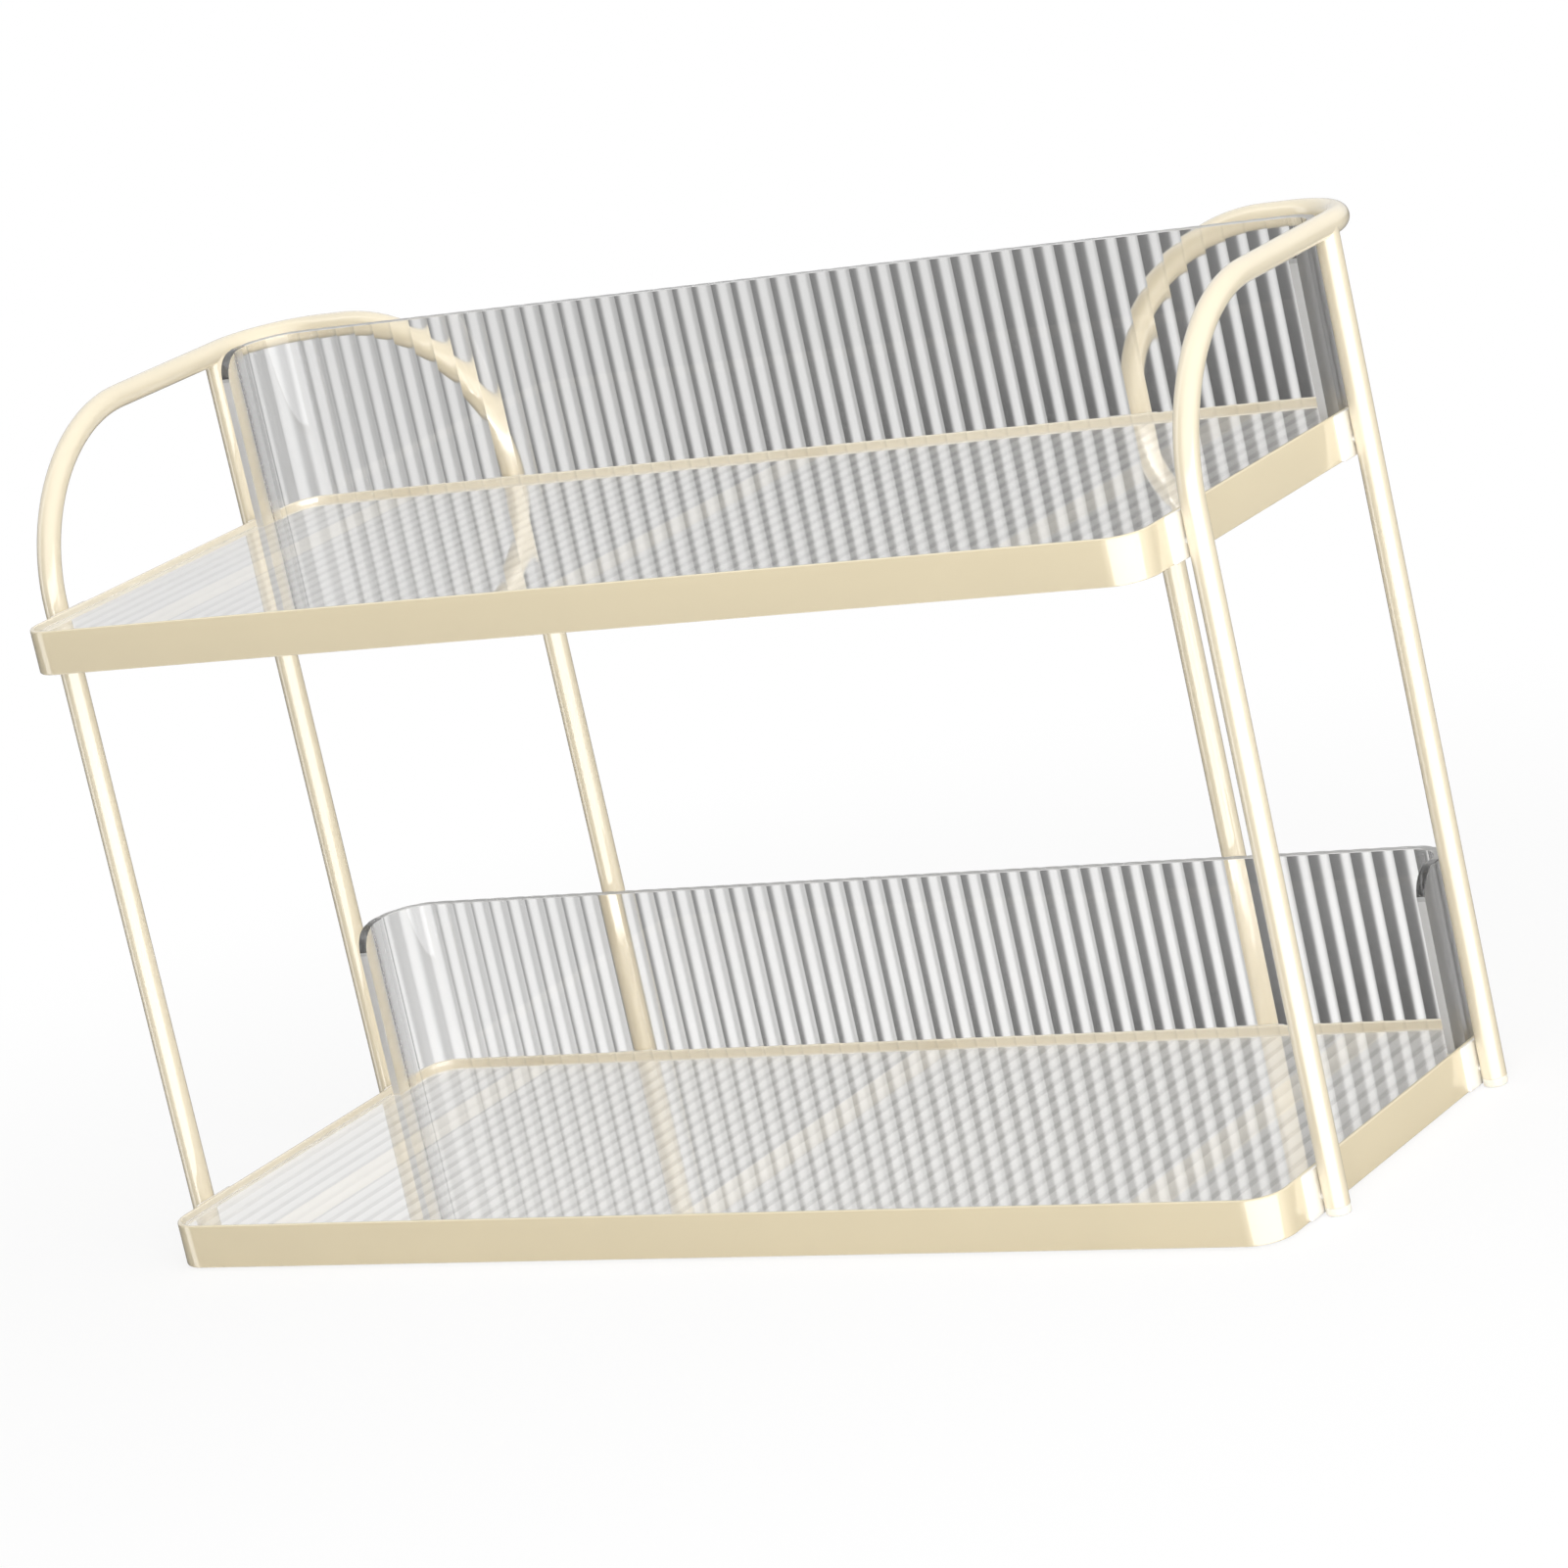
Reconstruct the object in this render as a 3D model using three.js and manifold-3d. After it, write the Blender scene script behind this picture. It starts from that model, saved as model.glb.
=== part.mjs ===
// A two-tier cosmetic rack. Two shallow trays of cream coated steel strip, each with a clear reeded
// floor sheet and a clear reeded back guard, hang between two bent tube side frames.
// Millimetres, +Z up, +X to the right, -Y to the front. The rack stands on z = 0.

import * as THREE from 'three';
import { mergeVertices } from 'three/addons/utils/BufferGeometryUtils.js';
import Module from 'manifold-3d';

const wasm = await Module();
wasm.setup();

// Trays
const trayWidth = 350;
const trayDepth = 138;
const trayCornerRadius = 10;
const bandHeight = 12.3;
const bandWall = 1.2;
const bandLift = 0.6; // from the table to the lower band's bottom edge
const tierSpacing = 172; // from one band to the next, edge to like edge

// Cross bars under each floor sheet, one in the middle and one near each end
const barWidth = 12;
const barThickness = 1.5;
const barInset = 39; // from the band's end face to an outer bar's middle

// Clear sheets
const reedPitch = 6.4;
const reedDepth = 0.4;
const floorThickness = 3; // over the reeds
const floorRecess = 1.5; // floor surface below the band's top edge
const guardThickness = 2.8; // over the reeds
const guardRise = 48.5; // above the band's top edge
const guardReturn = 26; // from the band's back face to the guard's front ends
const guardCornerRadius = 8; // rounded front top corners
const sheetClearance = 0.3;

// Side frames
const postDiameter = 6.6;
const frontPostInset = 24.7; // from the band's front face to a front post's axis
const cornerPostInset = 19; // from the band's back face to a corner post's axis
const archRadius = 48; // of the arches, which start level with the upper band's top edge
const backStraight = 8; // straight tube between a back corner's bend and the back arch
const bendRadius = 21.5; // plan bend at a back corner
const bendClearance = 1.6; // gap between that bend and the guard's corner inside it
const weldGap = 0.1;

// Joint plates and screws
const plateWidth = 16;
const plateThickness = 0.9;
const screwDiameter = 3;
const screwHeadDiameter = 5.5;
const screwHeadHeight = 1.6;
const screwSocketDiameter = 2;
const screwSocketDepth = 1;
const screwHeight = 4.6; // axis above the band's bottom edge
const screwBite = 5; // depth of thread inside the post
const screwClearance = 0.2;

// Feet
const footHeight = 2.4;
const footChamfer = 0.5;

// Facets
const postSides = 12;
const screwSides = 10;
const archSteps = 10;
const bendSteps = 8;
const cornerSteps = 6;
const reedSteps = 4;

// Places worked out from the sizes above
const halfWidth = trayWidth / 2;
const halfDepth = trayDepth / 2;
const postRadius = postDiameter / 2;
const postOffset = plateThickness + weldGap + postRadius; // from a band's face to a post's axis
const sidePostX = halfWidth + postOffset;
const frontPostY = frontPostInset - halfDepth;
const cornerPostY = halfDepth - cornerPostInset;
const backPostY = halfDepth + postOffset;
const archStartZ = bandLift + tierSpacing + bandHeight;
const archTopZ = archStartZ + archRadius;
const floorTop = bandHeight - floorRecess; // above the band's bottom edge
const barTop = floorTop - floorThickness;
const sheetInset = bandWall + sheetClearance; // from a band's outer face to the clear sheets
const sheetX = halfWidth - sheetInset;
const sheetY = halfDepth - sheetInset;
const sheetRadius = trayCornerRadius - sheetInset;

// The guard's back corners clear the band's corners and, along the diagonal, the tubes' bends
const bendRoom = Math.SQRT2 * (postOffset + sheetInset) - postRadius - bendClearance;
const guardRadius = Math.max(sheetRadius, bendRadius - bendRoom / (Math.SQRT2 - 1));
const backPostX = sidePostX - bendRadius - backStraight - archRadius;
const guardFrontY = halfDepth - guardReturn;
const guardInnerX = sheetX - guardThickness;
const guardInnerY = sheetY - guardThickness;
const guardInnerRadius = guardRadius - guardThickness;

const tiers = [
  { name: 'lower', base: bandLift },
  { name: 'upper', base: bandLift + tierSpacing },
];

const sides = [
  { name: 'left', sign: -1 },
  { name: 'right', sign: 1 },
];

// Where each post meets the band's outer face, and the way that this face looks
const posts = [
  { name: 'front', x: sidePostX, y: frontPostY, faceX: halfWidth, faceY: frontPostY, onBack: false },
  { name: 'corner', x: sidePostX, y: cornerPostY, faceX: halfWidth, faceY: cornerPostY, onBack: false },
  { name: 'back', x: backPostX, y: backPostY, faceX: backPostX, faceY: halfDepth, onBack: true },
];

const axisX = new THREE.Vector3(1, 0, 0);
const axisY = new THREE.Vector3(0, 1, 0);
const axisZ = new THREE.Vector3(0, 0, 1);

const creamCoat = () => new THREE.MeshStandardMaterial({ color: 0xeadfbe, roughness: 0.25, metalness: 0.1 });
const clearSheet = () => new THREE.MeshStandardMaterial({
  color: 0xe4e6e8, roughness: 0.05, metalness: 0, transparent: true, opacity: 0.4,
});
const platedSteel = () => new THREE.MeshStandardMaterial({ color: 0xc9c9c6, roughness: 0.3, metalness: 0.9 });
const clearRubber = () => new THREE.MeshStandardMaterial({ color: 0xf2f0ea, roughness: 0.5, metalness: 0 });

const rack = new THREE.Group();
// The middle of the whole rack, front band face to back tube, lies on y = 0
rack.position.y = (halfDepth - backPostY - postRadius) / 2;

function addPiece(name, geometry, material, parent = rack) {
  const mesh = new THREE.Mesh(geometry, material);
  mesh.name = name;
  parent.add(mesh);
}

// Closed solid of a geometry, for joining and cutting
function solidOf(geometry) {
  const bare = geometry.clone();
  bare.deleteAttribute('normal');
  bare.deleteAttribute('uv');
  const merged = mergeVertices(bare);
  return new wasm.Manifold(new wasm.Mesh({
    numProp: 3,
    vertProperties: new Float32Array(merged.attributes.position.array),
    triVerts: new Uint32Array(merged.index.array),
  }));
}

function geometryOf(solid) {
  const mesh = solid.getMesh();
  const geometry = new THREE.BufferGeometry();
  geometry.setAttribute('position', new THREE.BufferAttribute(mesh.vertProperties, 3));
  geometry.setIndex(new THREE.BufferAttribute(mesh.triVerts, 1));
  geometry.computeVertexNormals();
  return geometry;
}

function extruded(shape, depth) {
  return new THREE.ExtrudeGeometry(shape, { depth, bevelEnabled: false });
}

// Points of an arc about a centre, from one angle to another, both ends included
function arcPoints(centreX, centreY, radius, from, to, steps) {
  const points = [];
  for (let i = 0; i <= steps; i += 1) {
    const angle = from + ((to - from) * i) / steps;
    points.push(new THREE.Vector2(centreX + radius * Math.cos(angle), centreY + radius * Math.sin(angle)));
  }
  return points;
}

// Plan outline of a rounded rectangle about the origin
function roundedRectangle(reachX, reachY, radius) {
  const x = reachX - radius;
  const y = reachY - radius;
  return [
    ...arcPoints(x, y, radius, 0, Math.PI / 2, cornerSteps),
    ...arcPoints(-x, y, radius, Math.PI / 2, Math.PI, cornerSteps),
    ...arcPoints(-x, -y, radius, Math.PI, 1.5 * Math.PI, cornerSteps),
    ...arcPoints(x, -y, radius, 1.5 * Math.PI, 2 * Math.PI, cornerSteps),
  ];
}

// Places the origin where a post meets a band, with local X pointing out of the band
function jointMatrix(tier, side, post) {
  const turn = post.onBack ? Math.PI / 2 : (1 - side.sign) * (Math.PI / 2);
  const matrix = new THREE.Matrix4().makeRotationZ(turn);
  return matrix.setPosition(side.sign * post.faceX, post.faceY, tier.base);
}

// Hole for one screw, through the band and the plate and into the post
function screwHole(tier, side, post) {
  const reach = sheetInset + plateThickness + weldGap + screwBite + screwClearance;
  const radius = screwDiameter / 2 + screwClearance;
  const hole = new THREE.CylinderGeometry(radius, radius, reach, screwSides);
  hole.applyMatrix4(new THREE.Matrix4().makeBasis(axisZ, axisX, axisY));
  hole.translate(reach / 2 - sheetInset, 0, screwHeight);
  return solidOf(hole.applyMatrix4(jointMatrix(tier, side, post)));
}

// Tray band: a ring of strip on edge, with a screw hole at each of the six posts
function trayBand(tier) {
  const ring = new THREE.Shape(roundedRectangle(halfWidth, halfDepth, trayCornerRadius));
  const inner = roundedRectangle(halfWidth - bandWall, halfDepth - bandWall, trayCornerRadius - bandWall);
  ring.holes.push(new THREE.Path(inner));
  let band = solidOf(extruded(ring, bandHeight).translate(0, 0, tier.base));
  for (const side of sides) {
    for (const post of posts) {
      band = band.subtract(screwHole(tier, side, post));
    }
  }
  return geometryOf(band);
}

// Dip of the reeded face below its crest line, at a share u of one reed's pitch
function reedDip(u) {
  return reedDepth * (2 * u - 1) ** 2;
}

// Floor sheet: flat on top, reeded underneath from front to back, cut to the tray's inside and set
// back behind the guard's groove
function floorSheet(tier) {
  const reeds = Math.max(1, Math.round((2 * sheetX) / reedPitch));
  const section = [];
  for (let i = 0; i <= reeds * reedSteps; i += 1) {
    const x = -sheetX + (2 * sheetX * i) / (reeds * reedSteps);
    section.push(new THREE.Vector2(x, reedDip((i % reedSteps) / reedSteps)));
  }
  section.push(new THREE.Vector2(sheetX, floorThickness), new THREE.Vector2(-sheetX, floorThickness));
  const slab = extruded(new THREE.Shape(section), trayDepth);
  slab.applyMatrix4(new THREE.Matrix4().makeBasis(axisX, axisZ, axisY.clone().negate()));
  slab.translate(0, halfDepth, tier.base + barTop);

  const backX = guardInnerX - sheetClearance;
  const backY = guardInnerY - sheetClearance;
  const backRadius = guardInnerRadius - sheetClearance;
  const stepY = guardFrontY - sheetClearance;
  const x = backX - backRadius;
  const y = backY - backRadius;
  const frontX = sheetX - sheetRadius;
  const frontY = sheetRadius - sheetY;
  const outline = [
    new THREE.Vector2(sheetX, stepY),
    new THREE.Vector2(backX, stepY),
    ...arcPoints(x, y, backRadius, 0, Math.PI / 2, cornerSteps),
    ...arcPoints(-x, y, backRadius, Math.PI / 2, Math.PI, cornerSteps),
    new THREE.Vector2(-backX, stepY),
    new THREE.Vector2(-sheetX, stepY),
    ...arcPoints(-frontX, frontY, sheetRadius, Math.PI, 1.5 * Math.PI, cornerSteps),
    ...arcPoints(frontX, frontY, sheetRadius, 1.5 * Math.PI, 2 * Math.PI, cornerSteps),
  ];
  const plan = extruded(new THREE.Shape(outline), bandHeight).translate(0, 0, tier.base);
  return geometryOf(solidOf(slab).intersect(solidOf(plan)));
}

// The guard's crest line in plan runs up the right return, round both back corners along the back and
// down the left return. Gives the place and the outward angle at a distance along it.
const returnLength = sheetY - guardRadius - guardFrontY;
const cornerLength = (guardRadius * Math.PI) / 2;
const backLength = 2 * (sheetX - guardRadius);
const crestLength = 2 * (returnLength + cornerLength) + backLength;

function crestAt(distance) {
  const fromMiddle = crestLength / 2 - distance;
  const sign = fromMiddle < 0 ? -1 : 1;
  const run = Math.abs(fromMiddle);
  const turned = Math.min(Math.max(run - backLength / 2, 0), cornerLength) / guardRadius;
  const along = Math.min(run, backLength / 2);
  const down = Math.max(run - backLength / 2 - cornerLength, 0);
  return {
    x: sign * (along + guardRadius * Math.sin(turned)),
    y: sheetY - guardRadius + guardRadius * Math.cos(turned) - down,
    angle: Math.PI / 2 - sign * turned,
  };
}

// Back guard: one sheet bent round both back corners, smooth inside and reeded outside, standing on the
// cross bars in the groove behind the floor sheet
function backGuard(tier) {
  const reeds = Math.max(1, Math.round(crestLength / reedPitch));
  const outline = [];
  for (let i = 0; i <= reeds * reedSteps; i += 1) {
    const crest = crestAt((crestLength * i) / (reeds * reedSteps));
    const dip = reedDip((i % reedSteps) / reedSteps);
    const x = crest.x - dip * Math.cos(crest.angle);
    const y = crest.y - dip * Math.sin(crest.angle);
    outline.push(new THREE.Vector2(x, y));
  }
  const x = guardInnerX - guardInnerRadius;
  const y = guardInnerY - guardInnerRadius;
  outline.push(
    new THREE.Vector2(-guardInnerX, guardFrontY),
    ...arcPoints(-x, y, guardInnerRadius, Math.PI, Math.PI / 2, cornerSteps),
    ...arcPoints(x, y, guardInnerRadius, Math.PI / 2, 0, cornerSteps),
    new THREE.Vector2(guardInnerX, guardFrontY),
  );
  const height = bandHeight + guardRise - barTop;
  const sheet = extruded(new THREE.Shape(outline), height);

  // Waste outside the rounded front top corners, across both returns
  const waste = new THREE.Shape([
    ...arcPoints(guardFrontY + guardCornerRadius, height - guardCornerRadius, guardCornerRadius,
      Math.PI / 2, Math.PI, cornerSteps),
    new THREE.Vector2(guardFrontY - sheetClearance, height - guardCornerRadius),
    new THREE.Vector2(guardFrontY - sheetClearance, height + sheetClearance),
    new THREE.Vector2(guardFrontY + guardCornerRadius, height + sheetClearance),
  ]);
  const cutter = extruded(waste, trayWidth);
  cutter.applyMatrix4(new THREE.Matrix4().makeBasis(axisY, axisZ, axisX));
  cutter.translate(-halfWidth, 0, 0);
  return geometryOf(solidOf(sheet).subtract(solidOf(cutter))).translate(0, 0, tier.base + barTop);
}

// A path given by its stations, each a point and the direction there
class StationPath extends THREE.Curve {
  constructor(stations) {
    super();
    this.stations = stations;
  }

  stationAt(u) {
    return this.stations[Math.round(u * (this.stations.length - 1))];
  }

  getPointAt(u) {
    return this.stationAt(u).point.clone();
  }

  getTangentAt(u) {
    return this.stationAt(u).tangent.clone();
  }
}

// Stations of one arch tube: up the front post, over the side arch, round the back corner, over the back
// arch and down the back post
function archStations(side) {
  const stations = [];
  const add = (x, y, z, tangentX, tangentY, tangentZ) => stations.push({
    point: new THREE.Vector3(side.sign * x, y, z),
    tangent: new THREE.Vector3(side.sign * tangentX, tangentY, tangentZ),
  });
  add(sidePostX, frontPostY, footHeight, 0, 0, 1);
  for (let i = 0; i <= archSteps; i += 1) {
    const angle = ((Math.PI / 2) * i) / archSteps;
    const y = frontPostY + archRadius * (1 - Math.cos(angle));
    const z = archStartZ + archRadius * Math.sin(angle);
    add(sidePostX, y, z, 0, Math.sin(angle), Math.cos(angle));
  }
  for (let i = 0; i <= bendSteps; i += 1) {
    const angle = ((Math.PI / 2) * i) / bendSteps;
    const x = sidePostX - bendRadius * (1 - Math.cos(angle));
    const y = backPostY - bendRadius * (1 - Math.sin(angle));
    add(x, y, archTopZ, -Math.sin(angle), Math.cos(angle), 0);
  }
  for (let i = 0; i <= archSteps; i += 1) {
    const angle = ((Math.PI / 2) * i) / archSteps;
    const x = backPostX + archRadius * (1 - Math.sin(angle));
    const z = archStartZ + archRadius * Math.cos(angle);
    add(x, backPostY, z, -Math.cos(angle), 0, -Math.sin(angle));
  }
  add(backPostX, backPostY, footHeight, 0, 0, -1);
  return stations;
}

function archSolid(side, radius) {
  const stations = archStations(side);
  const section = arcPoints(0, 0, radius, 0, 2 * Math.PI, postSides).slice(0, postSides);
  return solidOf(new THREE.ExtrudeGeometry(new THREE.Shape(section), {
    steps: stations.length - 1,
    extrudePath: new StationPath(stations),
  }));
}

// Cuts the screw holes of both tiers into a tube at the posts that it forms
function drilled(tube, side, itsPosts) {
  let solid = tube;
  for (const tier of tiers) {
    for (const post of itsPosts) {
      solid = solid.subtract(screwHole(tier, side, post));
    }
  }
  return solid;
}

function archTube(side) {
  const itsPosts = posts.filter((post) => post.name !== 'corner');
  return geometryOf(drilled(archSolid(side, postRadius), side, itsPosts));
}

// Corner post: straight, its top end coped to the underside of the arch tube
function cornerPost(side) {
  const length = archTopZ - footHeight;
  const rod = new THREE.CylinderGeometry(postRadius, postRadius, length, postSides);
  rod.rotateX(Math.PI / 2);
  rod.translate(side.sign * sidePostX, cornerPostY, footHeight + length / 2);
  const coped = solidOf(rod).subtract(archSolid(side, postRadius + weldGap));
  return geometryOf(drilled(coped, side, posts.filter((post) => post.name === 'corner')));
}

// Joint plate: flat against the band's outer face, with the post welded to its middle
function jointPlate() {
  const half = plateWidth / 2;
  const plate = new THREE.Shape([
    new THREE.Vector2(-half, 0),
    new THREE.Vector2(half, 0),
    new THREE.Vector2(half, bandHeight),
    new THREE.Vector2(-half, bandHeight),
  ]);
  const radius = screwDiameter / 2 + screwClearance;
  const hole = arcPoints(0, screwHeight, radius, 0, 2 * Math.PI, screwSides).slice(0, screwSides);
  plate.holes.push(new THREE.Path(hole));
  return extruded(plate, plateThickness).applyMatrix4(new THREE.Matrix4().makeBasis(axisY, axisZ, axisX));
}

// Screw: domed head with a socket inside the band, shank through band and plate into the post
function jointScrew() {
  const radius = screwDiameter / 2;
  const headRadius = screwHeadDiameter / 2;
  const socketRadius = screwSocketDiameter / 2;
  const headFace = -bandWall - screwHeadHeight;
  const tip = plateThickness + weldGap + screwBite;
  const profile = [
    new THREE.Vector2(0, headFace + screwSocketDepth),
    new THREE.Vector2(socketRadius, headFace + screwSocketDepth),
    new THREE.Vector2(socketRadius, headFace),
    new THREE.Vector2((socketRadius + headRadius) / 2, headFace),
    new THREE.Vector2(headRadius, -bandWall - screwHeadHeight / 2),
    new THREE.Vector2(headRadius, -bandWall),
    new THREE.Vector2(radius, -bandWall),
    new THREE.Vector2(radius, tip),
    new THREE.Vector2(0, tip),
  ];
  const screw = new THREE.LatheGeometry(profile, screwSides);
  screw.applyMatrix4(new THREE.Matrix4().makeBasis(axisZ, axisX, axisY));
  return screw.translate(0, 0, screwHeight);
}

// Foot: a pad bonded to a post's lower end
function foot(side, post) {
  const profile = [
    new THREE.Vector2(0, 0),
    new THREE.Vector2(postRadius - footChamfer, 0),
    new THREE.Vector2(postRadius, footChamfer),
    new THREE.Vector2(postRadius, footHeight),
    new THREE.Vector2(0, footHeight),
  ];
  const pad = new THREE.LatheGeometry(profile, postSides);
  pad.rotateX(Math.PI / 2);
  return pad.translate(side.sign * post.x, post.y, 0);
}

for (const tier of tiers) {
  addPiece(`${tier.name}_tray_band`, trayBand(tier), creamCoat());
  addPiece(`${tier.name}_floor_sheet`, floorSheet(tier), clearSheet());
  addPiece(`${tier.name}_back_guard`, backGuard(tier), clearSheet());
  for (const [place, x] of [['left', barInset - halfWidth], ['middle', 0], ['right', halfWidth - barInset]]) {
    const bar = new THREE.BoxGeometry(barWidth, trayDepth - 2 * bandWall, barThickness);
    bar.translate(x, 0, tier.base + barTop - barThickness / 2);
    addPiece(`${tier.name}_cross_bar_${place}`, bar, creamCoat());
  }
  for (const side of sides) {
    for (const post of posts) {
      const joint = new THREE.Group();
      joint.applyMatrix4(jointMatrix(tier, side, post));
      rack.add(joint);
      addPiece(`${side.name}_${post.name}_${tier.name}_plate`, jointPlate(), creamCoat(), joint);
      addPiece(`${side.name}_${post.name}_${tier.name}_screw`, jointScrew(), platedSteel(), joint);
    }
  }
}

for (const side of sides) {
  addPiece(`${side.name}_arch_tube`, archTube(side), creamCoat());
  addPiece(`${side.name}_corner_post`, cornerPost(side), creamCoat());
  for (const post of posts) {
    addPiece(`${side.name}_${post.name}_foot`, foot(side, post), clearRubber());
  }
}

export default rack;
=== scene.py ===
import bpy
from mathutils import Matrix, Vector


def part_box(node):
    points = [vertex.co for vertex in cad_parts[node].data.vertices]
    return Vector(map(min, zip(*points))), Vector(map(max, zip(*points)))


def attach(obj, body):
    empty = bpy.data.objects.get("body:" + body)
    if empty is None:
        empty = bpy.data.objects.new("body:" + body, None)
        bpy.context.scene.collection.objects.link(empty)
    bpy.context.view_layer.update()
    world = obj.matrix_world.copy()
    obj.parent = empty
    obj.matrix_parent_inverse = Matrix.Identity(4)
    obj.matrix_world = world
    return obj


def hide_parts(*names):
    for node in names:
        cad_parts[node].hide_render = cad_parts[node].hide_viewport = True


bl_info = {
    "name": "Two-tier cosmetic rack",
    "version": (1, 0, 0),
    "blender": (4, 5, 0),
    "location": "View3D > Sidebar > Rack",
    "description": "Coated bands and tubes, clear reeded sheets, fittings and stage of a cosmetic rack",
    "category": "Object",
}

import math

import bpy
import numpy as np
from bpy.props import FloatProperty, FloatVectorProperty, PointerProperty
from bpy.types import Operator, Panel, PropertyGroup
from mathutils import Matrix

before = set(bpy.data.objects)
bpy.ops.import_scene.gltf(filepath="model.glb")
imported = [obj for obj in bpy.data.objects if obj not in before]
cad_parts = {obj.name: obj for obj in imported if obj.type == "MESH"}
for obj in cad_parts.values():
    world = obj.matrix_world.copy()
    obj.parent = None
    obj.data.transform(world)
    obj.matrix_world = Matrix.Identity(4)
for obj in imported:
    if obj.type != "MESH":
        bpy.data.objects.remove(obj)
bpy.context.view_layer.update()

TIERS = ("lower", "upper")
SIDES = (("left", -1.0), ("right", 1.0))
POSTS = ("front", "corner", "back")
BARS = ("left", "middle", "right")


def node_box(node):
    """Lowest and highest corner of a CAD node as two arrays."""
    low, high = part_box(node)
    return np.array(low), np.array(high)


def box_middle(node):
    """Middle of a CAD node's box."""
    low, high = node_box(node)
    return (low + high) / 2


BAND_TOP = node_box("upper_tray_band")[1][2]
POST_LOW, POST_HIGH = node_box("right_corner_post")
TUBE_RADIUS = (POST_HIGH[0] - POST_LOW[0]) / 2

# Steps along curves.
TUBE_SIDES = 36
SCREW_SIDES = 36
REED_STEPS = 18
BAND_CORNER_STEPS = 25
ARCH_STEPS = 40
GUARD_END_STEPS = 40
TURNED_EDGE_STEPS = 8
PLATE_STEPS = 5

# Largest angles between faces that are shaded as one.
CREASE = 32.0
SHEET_CREASE = 20.0

# Longest straight of a tray band without a station, in metres.
BAND_STEP = 0.02

# Share of the band's wall past which its section counts as the inner side.
INNER_SHARE = 0.4

# Extra stations near a floor sheet's ends, where the front corners fall steeply, in steps of the reeds.
FLOOR_END_STEPS = np.array([0.02, 0.08, 0.2, 0.45, 0.7])

# Half the width of the step in a floor sheet's back edge, where the guard's legs stand, in metres.
NOTCH_HALF = 0.00001

# Columns of faces round the sections of the sheets, and the mark of a loft's flat ends.
FLOOR_REAR, FLOOR_UNDER = (3, 4), 5
GUARD_RIM, GUARD_REEDS = (1, 2, 3), 4
LOFT_END = -1

# Share of the rounded end after which the rim of a guard's leg is a plain cut edge, painted near black as painted
# shade.
CUT_START = 0.01

# Small fittings, in metres.
PLATE_CORNER = 0.0008
SOCKET_RADIUS, SOCKET_FLOOR, SOCKET_DEPTH, SOCKET_LEAD = 0.0010, 0.0009, 0.0010, 0.0001
SHANK_RADIUS, SHANK_TIP, SHANK_BEVEL = 0.0015, 0.0012, 0.0004
PAD_LOWER_ROUND, PAD_UPPER_ROUND = 0.0007, 0.0003

# Share of a screw head's radius that is flat on top, share of its height that is domed, and its six-sided rings.
HEAD_FLAT, HEAD_DOME = 0.55, 0.75
SOCKET_RINGS = (0, 1, 2)


class RackSizes(PropertyGroup):
    """Sizes that the solids' boxes don't give, in metres."""

    band_wall: FloatProperty(name="Band wall", description="Thickness of the tray strip", default=0.0012,
                             unit="LENGTH")
    band_corner: FloatProperty(name="Band corner", description="Outer radius of a tray's corners in plan",
                               default=0.010, unit="LENGTH")
    edge_round: FloatProperty(name="Coated edge", description="Rounding of coated edges", default=0.0004,
                              unit="LENGTH")
    reed_pitch: FloatProperty(name="Reed pitch", description="Distance from one reed to the next",
                              default=0.0064, unit="LENGTH")
    reed_depth: FloatProperty(name="Reed depth", description="Height of a reed over its grooves",
                              default=0.0004, unit="LENGTH")
    sheet_edge: FloatProperty(name="Sheet edge", description="Polished chamfer on the clear sheets' edges",
                              default=0.0002, unit="LENGTH")
    guard_thickness: FloatProperty(name="Guard thickness", description="Guard sheet over its reeds",
                                   default=0.0028, unit="LENGTH")
    guard_corner: FloatProperty(name="Guard corner", description="Outer bend radius of the guard in plan",
                                default=0.01347, unit="LENGTH")
    guard_round: FloatProperty(name="Guard end round", description="Radius of the guard's front top corners",
                               default=0.008, unit="LENGTH")
    sheet_gap: FloatProperty(name="Sheet gap", description="Clearance between floor sheet and guard",
                             default=0.0003, unit="LENGTH")
    tube_bend: FloatProperty(name="Tube bend", description="Plan radius of a tube's back corner",
                             default=0.0215, unit="LENGTH")
    weld_leg: FloatProperty(name="Weld bite", description="How far a corner post runs into the tube above",
                            default=0.0004, unit="LENGTH")


class RackFinishes(PropertyGroup):
    """Colours and gloss of the rack's finishes."""

    coat_color: FloatVectorProperty(name="Coat", description="Cream coating", subtype="COLOR", size=3,
                                    min=0.0, max=1.0, default=(0.735, 0.64, 0.445))
    coat_gloss: FloatProperty(name="Coat gloss", description="Index of the coating's clear top layer",
                              default=1.7)
    sheet_color: FloatVectorProperty(name="Sheet", description="Tint of the clear sheets", subtype="COLOR",
                                     size=3, min=0.0, max=1.0, default=(0.99, 0.986, 0.978))
    sheet_index: FloatProperty(name="Sheet index", description="Refractive index of the clear sheets",
                               default=1.49)
    steel_color: FloatVectorProperty(name="Plating", description="Plated screws", subtype="COLOR", size=3,
                                     min=0.0, max=1.0, default=(0.62, 0.61, 0.58))
    pad_color: FloatVectorProperty(name="Pads", description="Milky foot pads", subtype="COLOR", size=3,
                                   min=0.0, max=1.0, default=(0.82, 0.79, 0.71))


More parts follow.
